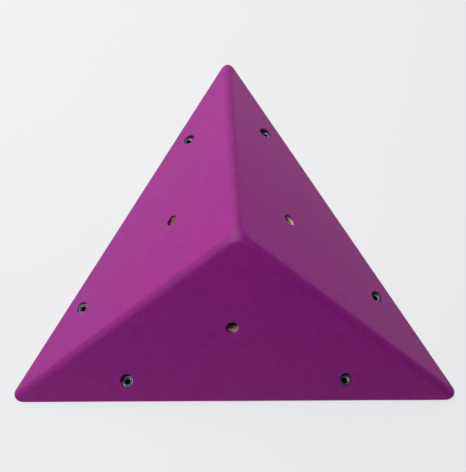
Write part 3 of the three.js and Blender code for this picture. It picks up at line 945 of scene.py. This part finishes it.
def sanded_peak_planes():
    """Planes that touch the sanded cap of the peak all round, moved in under the paint."""
    top = core + UP * (RIDGE_RADIUS - PEAK_WEAR - PEAK_BLEND)
    planes = [(UP, UP @ top - WOOD_INSET)]
    for share, count in PEAK_CUTS:
        reach = PEAK_SLOPE * PEAK_RADIUS * share
        for angle in turn_angles(count):
            place = np.array((math.cos(angle), math.sin(angle), 0.0)) * reach
            out = unit(place / PEAK_RADIUS + UP)
            touch = top + place - UP * reach**2 / (2 * PEAK_RADIUS)
            planes.append((out, out @ touch - WOOD_INSET))
    return planes


def panel_planes(side):
    """Planes that a panel is sawn and sanded to: ridges and faces, corners, peak, foot, back and mitres."""
    rounding = directions_between(normals, ROUNDING_STEPS)
    planes = [(out, out @ core + RIDGE_RADIUS - WOOD_INSET) for out in rounding]
    for before, after in ridges:
        if side not in (before, after):
            continue
        centre = corner_centre(before, after, CORNER_RADIUS)
        for k in range(ROUNDING_STEPS + 1):
            share = k / ROUNDING_STEPS
            out = -unit(before.inward * (1 - share) + after.inward * share)
            planes.append((out, out[:2] @ centre + CORNER_RADIUS - WOOD_INSET))
    planes += sanded_peak_planes()
    planes.append((-UP, 0.0))
    planes.append((-side.normal, side.thickness - side.distance))
    for other in sides:
        if other is not side:
            away = unit(other.normal - side.normal)
            planes.append((away, away @ sharp_peak - TOUCH_GAP / 2))
    return planes


def panel_bores(side):
    """All that is drilled in a panel, as cutters."""
    # The mouth of the hand-hold bore is broken with sandpaper before painting
    mouth = [
        (HOLD_BORE / 2, -2 * side.thickness),
        (HOLD_BORE / 2, -BORE_ROLL - WOOD_INSET),
        (HOLD_BORE / 2 + BORE_ROLL + WOOD_INSET, 0.0),
        (HOLD_BORE / 2 + BORE_ROLL + WOOD_INSET, side.thickness),
    ]
    cutters = [bar("hold_bore", mouth, BORE_SIDES, side.frame)]
    cutters += [pilot(screw, 0.0) for screw in tnut_screws + batten_screws if screw.side is side]
    for ferrule in ferrules:
        if ferrule.node.startswith(side.name):
            stepped = [
                (WALL_BORE / 2, -BELOW_WALL),
                (WALL_BORE / 2, seat_height),
                (counterbore / 2, seat_height),
                (counterbore / 2, 10 * side.thickness),
            ]
            cutters.append(bar("screw_bore", stepped, BORE_SIDES, ferrule.frame))
    return cutters


def panel_piece(side):
    """One panel: sawn to its mitres, rounded under the paint, then drilled."""
    node, name = side.name + "_panel", side.name + "_panel_plywood"
    body = block(node + "_blank", panel_planes(side), PANEL_ARRIS)
    mesh = carved(name, body, [joined("bores", panel_bores(side))])
    return piece(name, mesh, plywood, side.frame, smooth=30, stands_for=[node])


# Battens

def batten_piece(first, second):
    """One batten: a planed bar with its nose taken off, cut level at the foot and square at the top, with
    round pockets for its screws."""
    node = f"{first.name}_{second.name}_batten"
    up = unit(np.cross(first.normal, second.normal))
    inward = -unit(first.normal + second.normal)
    across = np.cross(inward, up)
    nose, back = span(node, inward)
    _, upper = span(node, up)
    planes = [
        first.plane(first.thickness + TOUCH_GAP),
        second.plane(second.thickness + TOUCH_GAP),
        (inward, back),
        (-inward, -nose),
        (up, upper),
        (-UP, -span(node, UP)[0]),
    ]
    body = block(node + "_blank", planes, BATTEN_ARRIS)
    cutters = []
    for screw in batten_screws:
        if not screw.node.startswith(node):
            continue
        hole = screw.size["shank"] / 2 + TOUCH_GAP
        pocket = [
            (POCKET / 2, -POCKET_REACH),
            (POCKET / 2, TOUCH_GAP),
            (hole, TOUCH_GAP),
            (hole, screw.size["length"] + TOUCH_GAP),
        ]
        cutters.append(bar("pocket", pocket, SMALL_SIDES, screw.frame))
    mesh = carved(node + "_planed", body, [joined("pockets", cutters)])
    own = matrix_of(across, inward, up, inward * nose)
    return piece(node + "_planed", mesh, spruce, own, smooth=30, stands_for=[node])


def screw_blank(size):
    """A pan head on a shank with a rolled thread, without its recess."""
    head, shank, length = size["head"] / 2, size["shank"] / 2, size["length"]
    # From the crown of the head outwards, then in along its underside
    rows = []
    for share in CROWN_SHARES:
        lean = math.pi / 2 * share
        drop = size["head_edge"] + (size["head_height"] - size["head_edge"]) * math.cos(lean)
        rows.append((head * math.sin(lean), -drop))
    width, rise = HEAD_CHAMFER
    rows += [(head, -rise), (head - width, 0.0), (shank * NECK_SHARE, 0.0)]
    radius, height = (list(rings) for rings in profile_rings(rows, SCREW_SIDES))
    # Down the thread, which runs out in the tip
    angle = turn_angles(SCREW_SIDES)
    root = shank * ROOT_SHARE
    for z in np.arange(THREAD_FROM, length - THREAD_TO, size["pitch"] / THREAD_ROWS):
        turn = (z / size["pitch"] - angle / math.tau) % 1
        ridge = np.clip(1 - np.abs(turn - 0.5) * 4, 0, 1)
        taper = min(1.0, (length - z) / size["tip"])
        radius.append((root + (shank - root) * ridge) * taper)
        height.append(np.full(SCREW_SIDES, z))
    points, faces = spun(radius, height, np.identity(4), closed=False, tips=(True, True))
    points[-1] = (0, 0, length)
    points[-2] = (0, 0, -size["head_height"])
    return outward(new_mesh("screw_blank", points, faces))


def cross_recess(size):
    """The two wings of a cross recess, as cutters that narrow towards the bottom."""
    top = -size["head_height"] - RECESS_OVERRUN
    bottom = -size["head_height"] + size["recess_depth"]
    wings = []
    for crossed in (False, True):
        points = []
        for z, (length_share, width_share) in zip((top, bottom), RECESS_SHARES):
            x, y = size["recess"] / 2 * length_share, size["recess_width"] / 2 * width_share
            corners = [(x, y), (-x, y), (-x, -y), (x, -y)]
            points += [(b, a, z) if crossed else (a, b, z) for a, b in corners]
        walls = [(k, (k + 1) % 4, (k + 1) % 4 + 4, k + 4) for k in range(4)]
        wings.append(outward(new_mesh("wing", points, [(0, 1, 2, 3), (7, 6, 5, 4), *walls])))
    return wings


def screw_pieces(screws):
    """All screws of one size, from one blank."""
    size = screws[0].size
    master = carved("screw", screw_blank(size), cross_recess(size))
    for screw in screws:
        mesh = master.copy()
        placing = screw.frame.copy()
        placing[:3, 3] *= MM
        mesh.transform(Matrix(placing))
        name = screw.node + "_driven"
        piece(name, mesh, screw_zinc, screw.frame, smooth=40, stands_for=[screw.node])


# Steel fittings

def arc(centre, radius, start, end, steps):
    """Points of a rounded corner in the radius and height plane, angles in degrees."""
    angles = np.radians(np.linspace(start, end, steps))
    return [(centre[0] + radius * math.cos(a), centre[1] + radius * math.sin(a)) for a in angles]


def ferrule_piece(ferrule):
    """A turned ring: rounded edges, a dish that takes the screw head and a bore with a broken edge."""
    bore, outer, height = FERRULE_BORE_RADIUS, ferrule_radius, ferrule.top - ferrule.bottom
    edge, foot_edge, lip = FERRULE_EDGE, FERRULE_FOOT_EDGE, DISH_LIP
    profile = [(bore, height - DISH_DEPTH - lip), (bore, edge), (bore + edge, 0.0)]
    profile += arc((outer - foot_edge, foot_edge), foot_edge, -90, 0, 5)
    profile += arc((outer - edge, height - edge), edge, 0, 90, 7)
    profile += arc((DISH_RADIUS + lip, height - lip), lip, 90, 150, 5)
    for share in DISH_SHARES:
        lean = math.pi / 2 * share
        narrowing = (DISH_RADIUS - bore - lip) * (1 - math.cos(lean))
        profile.append((DISH_RADIUS - narrowing, height - DISH_DEPTH * math.sin(lean)))
    own = ferrule.frame.copy()
    own[2, 3] = ferrule.bottom
    name = ferrule.node + "_turned"
    mesh = turned(name, profile, BORE_SIDES, own)
    return piece(name, mesh, ferrule_steel, own, smooth=50, stands_for=[ferrule.node])


def tnut_piece(side):
    """A pressed T-nut: a round flange that runs in a fillet into its barrel, with an M10 thread in the
    barrel."""
    node = side.name + "_tnut"
    low, high = (reach - side.distance for reach in span(node, side.normal))
    barrel = HOLD_BORE / 2 - TOUCH_GAP
    length = high - low - FLANGE_THICKNESS
    own = side.frame.copy()
    own[:3, 3] += side.normal * (low + FLANGE_THICKNESS)
    rows = arc((FLANGE_RADIUS - FLANGE_EDGE, FLANGE_EDGE - FLANGE_THICKNESS), FLANGE_EDGE, -90, 0, 4)
    rows += arc((FLANGE_RADIUS - FLANGE_EDGE, -FLANGE_EDGE), FLANGE_EDGE, 0, 90, 4)
    rows += arc((barrel + BARREL_FILLET, BARREL_FILLET), BARREL_FILLET, 270, 180, 4)
    rows += arc((barrel - BARREL_EDGE, length - BARREL_EDGE), BARREL_EDGE, 0, 90, 4)
    rows += [(CREST_RADIUS + MOUTH_WIDENING, length)]
    radius, height = (list(rings) for rings in profile_rings(rows, SMALL_SIDES))
    # The thread goes down the bore, from just inside the mouth to the flange's back
    angle = turn_angles(SMALL_SIDES)
    flat = np.ones(SMALL_SIDES)
    for z in np.arange(length - BARREL_EDGE, THREAD_STOP - FLANGE_THICKNESS, -PITCH / THREAD_ROWS):
        turn = (z / PITCH - angle / math.tau) % 1
        groove = np.clip(1 - np.abs(turn - 0.5) * 3, 0, 1)
        fade = min(1.0, (length - z) / PITCH, (z + FLANGE_THICKNESS) / RUN_OUT)
        lead = LEAD_WIDENING * max(0.0, 1 - (length - z) / RUN_OUT)
        radius.append(CREST_RADIUS + lead + (BOLT_RADIUS - CREST_RADIUS) * groove * fade)
        height.append(flat * z)
    radius.append(flat * (CREST_RADIUS + BACK_WIDENING))
    height.append(flat * -FLANGE_THICKNESS)
    points, faces = spun(radius, height, own)
    holes = [pilot(screw, -FLANGE_OVERRUN) for screw in tnut_screws if screw.side is side]
    name = node + "_plated"
    mesh = carved(name, new_mesh(node, points, faces), [joined("holes", holes)])
    return piece(name, mesh, zinc, own, smooth=40, stands_for=[node])


# Studio

FLOOR_RADIUS = 6000.0
FLOOR_SIDES = 64
FLOOR_DROP = 0.05  # below the foot, so that the two don't share a plane
SHADE_SHEET_INSET = 6.0  # of the painted shade sheet's edges inside the foot's
EVEN_FROM = 350.0  # from here on the paper shows more and more evenly
EVEN_TO = 1300.0  # and from here on evenly everywhere
LIT_WAY = (-0.87, 0.5, 0.0)  # towards the lit paper behind the volume
DIM_ROOM = 0.15  # how bright the room in front is beside that paper
EVEN_SHARE = 0.75  # how much of the paper's light is even close to the volume
FILL_STRENGTH = 0.035
LAMP_REACH = 1600.0  # from the middle of the foot


def share_seen(tree, way):
    """How much of the pale background shows: all of it to the eye, and none as light that falls on the
    object. A reflection shows most of it towards the lit paper behind on the left, and least towards the
    room in front."""
    eye = add(tree, "LightPath", out="Is Camera Ray")
    gloss = add(tree, "LightPath", out="Is Glossy Ray")
    clear = add(tree, "LightPath", out="Is Transmission Ray")
    behind = add(tree, "VectorMath", {0: way, 1: LIT_WAY}, out="Value", operation="DOT_PRODUCT")
    lit = add(tree, "MapRange", {"Value": behind, 1: -1.0, 2: 1.0, 3: DIM_ROOM, 4: 1.0})
    bent = add(tree, "Math", {0: gloss, 1: clear}, operation="MAXIMUM")
    mirrored = add(tree, "Math", {0: bent, 1: lit}, operation="MULTIPLY")
    return add(tree, "Math", {0: eye, 1: mirrored}, operation="MAXIMUM")


def floor_material():
    """Matt paper: almost even, with faint clouds 400 mm wide."""
    made, tree, shader = new_material("matt_studio_paper")
    place = add(tree, "TexCoord", out="Object")
    cloud = add(tree, "TexNoise", {"Vector": place, "Scale": 1 / (400 * MM), "Detail": 2.0})
    colour = add(tree, "ValToRGB", {"Fac": cloud}, colours=[(0.3, "#ECECEC"), (0.7, "#EEEEEE")])
    wire(tree, shader, {"Base Color": colour, "Roughness": 1.0, "Specular IOR Level": 0.0})
    # Most of the paper shows evenly bright, and far off all of it, so that the shadow stays but the paper
    # meets the backdrop without a line
    even = add(tree, "Emission", {"Color": linear("#EDEDED"), "Strength": 1.0})
    reach = add(tree, "VectorMath", {0: place}, out="Value", operation="LENGTH")
    ends = {"Value": reach, 1: EVEN_FROM * MM, 2: EVEN_TO * MM, 3: EVEN_SHARE, 4: 1.0}
    most = add(tree, "MapRange", ends, interpolation_type="SMOOTHSTEP")
    share = add(tree, "Math", {0: share_seen(tree, place), 1: most}, operation="MULTIPLY")
    shown = add(tree, "MixShader", {0: share, 1: shader.outputs[0], 2: even})
    wire(tree, tree.nodes["Material Output"], {"Surface": shown})
    return made


def shade_sheet_material():
    """A near-black sheet, painted shade: almost no light comes back from it."""
    made, tree, shader = new_material("black_felt")
    place = add(tree, "TexCoord", out="Object")
    # Faint blotches about 2 mm across
    blotch = add(tree, "TexNoise", {"Vector": place, "Scale": 1 / (2 * MM), "Detail": 3.0})
    colour = add(tree, "ValToRGB", {"Fac": blotch}, colours=[(0.3, "#0C0B0B"), (0.7, "#191717")])
    wire(tree, shader, {"Base Color": colour, "Roughness": 1.0, "Specular IOR Level": 0.0})
    return made


def staged(name, points, material):
    """A flat thing that belongs to the studio, from the points round it."""
    mesh = new_mesh(name, points, [tuple(range(len(points)))])
    mesh.materials.append(material)
    made = in_scene(name, mesh)


def softbox(name, towards, size, strength, tint):
    """A round softbox. At a strength of 1 it alone shows a white card as white."""
    lamp = bpy.data.lights.new(name, "AREA")
    lamp.shape = "DISK"
    lamp.size = size * MM
    lamp.energy = strength * (math.pi * LAMP_REACH * MM) ** 2
    lamp.color = linear(tint)[:3]
    hung = in_scene(name, lamp)
    hung.location = Vector(towards).normalized() * LAMP_REACH * MM
    hung.rotation_mode = "QUATERNION"
    hung.rotation_quaternion = Vector(towards).to_track_quat("Z", "Y")


def studio():
    """A wide paper floor, a warm softbox behind, a cooler one above and a little fill from all round."""
    ways = [(math.cos(angle), math.sin(angle)) for angle in turn_angles(FLOOR_SIDES)]
    rim = [(FLOOR_RADIUS * x, FLOOR_RADIUS * y, -FLOOR_DROP) for x, y in ways]
    staged("studio_floor", rim, floor_material())
    # A near-black sheet under the volume, smaller than its foot, is painted shade: it stands for the unlit
    # wall behind the bores
    corners = [corner_centre(before, after, SHADE_SHEET_INSET) for before, after in ridges]
    staged("studio_felt", [(*corner, -FLOOR_DROP / 2) for corner in corners], shade_sheet_material())

    softbox("rear_softbox", (-0.334, 0.628, 0.703), size=900.0, strength=0.637, tint="#FFF9F2")
    softbox("top_softbox", (-0.29, -0.055, 0.954), size=320.0, strength=0.7, tint="#E6F1FF")

    world = bpy.data.worlds.new("studio")
    bpy.context.scene.world = world
    world.use_nodes = True
    tree = world.node_tree
    fill = tree.nodes["Background"]
    wire(tree, fill, {"Color": linear("#FFF6EE"), "Strength": FILL_STRENGTH})
    pale = add(tree, "Background", {"Color": linear("#EDEDED"), "Strength": 1.0})
    seen = share_seen(tree, add(tree, "TexCoord", out="Generated"))
    mixed = add(tree, "MixShader", {0: seen, 1: fill.outputs[0], 2: pale})
    wire(tree, tree.nodes["World Output"], {"Surface": mixed})


# The photograph's own view, found from the base corners, the ridges and the bores
CAMERA_PLACE = (2.07, -254.5, 713.0)
CAMERA_TARGET = (-0.39, -17.64, 0.0)
CAMERA_ROLL = -0.9  # degrees
FOCAL_LENGTH = 54.08
SENSOR_WIDTH = 36.0
NEAREST, FARTHEST = 10.0, 100000.0


def camera():
    """The camera at the photograph's angle."""
    data = bpy.data.cameras.new("camera")
    data.sensor_fit = "HORIZONTAL"
    data.sensor_width = SENSOR_WIDTH
    data.lens = FOCAL_LENGTH
    data.clip_start, data.clip_end = NEAREST * MM, FARTHEST * MM
    made = in_scene("camera", data)
    place, target = Vector(CAMERA_PLACE) * MM, Vector(CAMERA_TARGET) * MM
    aim = (target - place).to_track_quat("-Z", "Y")
    made.matrix_world = Matrix.Translation(place) @ aim.to_matrix().to_4x4() @ Matrix.Rotation(
        math.radians(CAMERA_ROLL), 4, "Z"
    )
    bpy.context.scene.camera = made


camera()
studio()
paint_coat()
for side in sides:
    panel_piece(side)
    tnut_piece(side)
for first, second in ridges:
    batten_piece(first, second)
for ferrule in ferrules:
    ferrule_piece(ferrule)
screw_pieces(tnut_screws)
screw_pieces(batten_screws)

bpy.context.scene.view_settings.view_transform = "Standard"
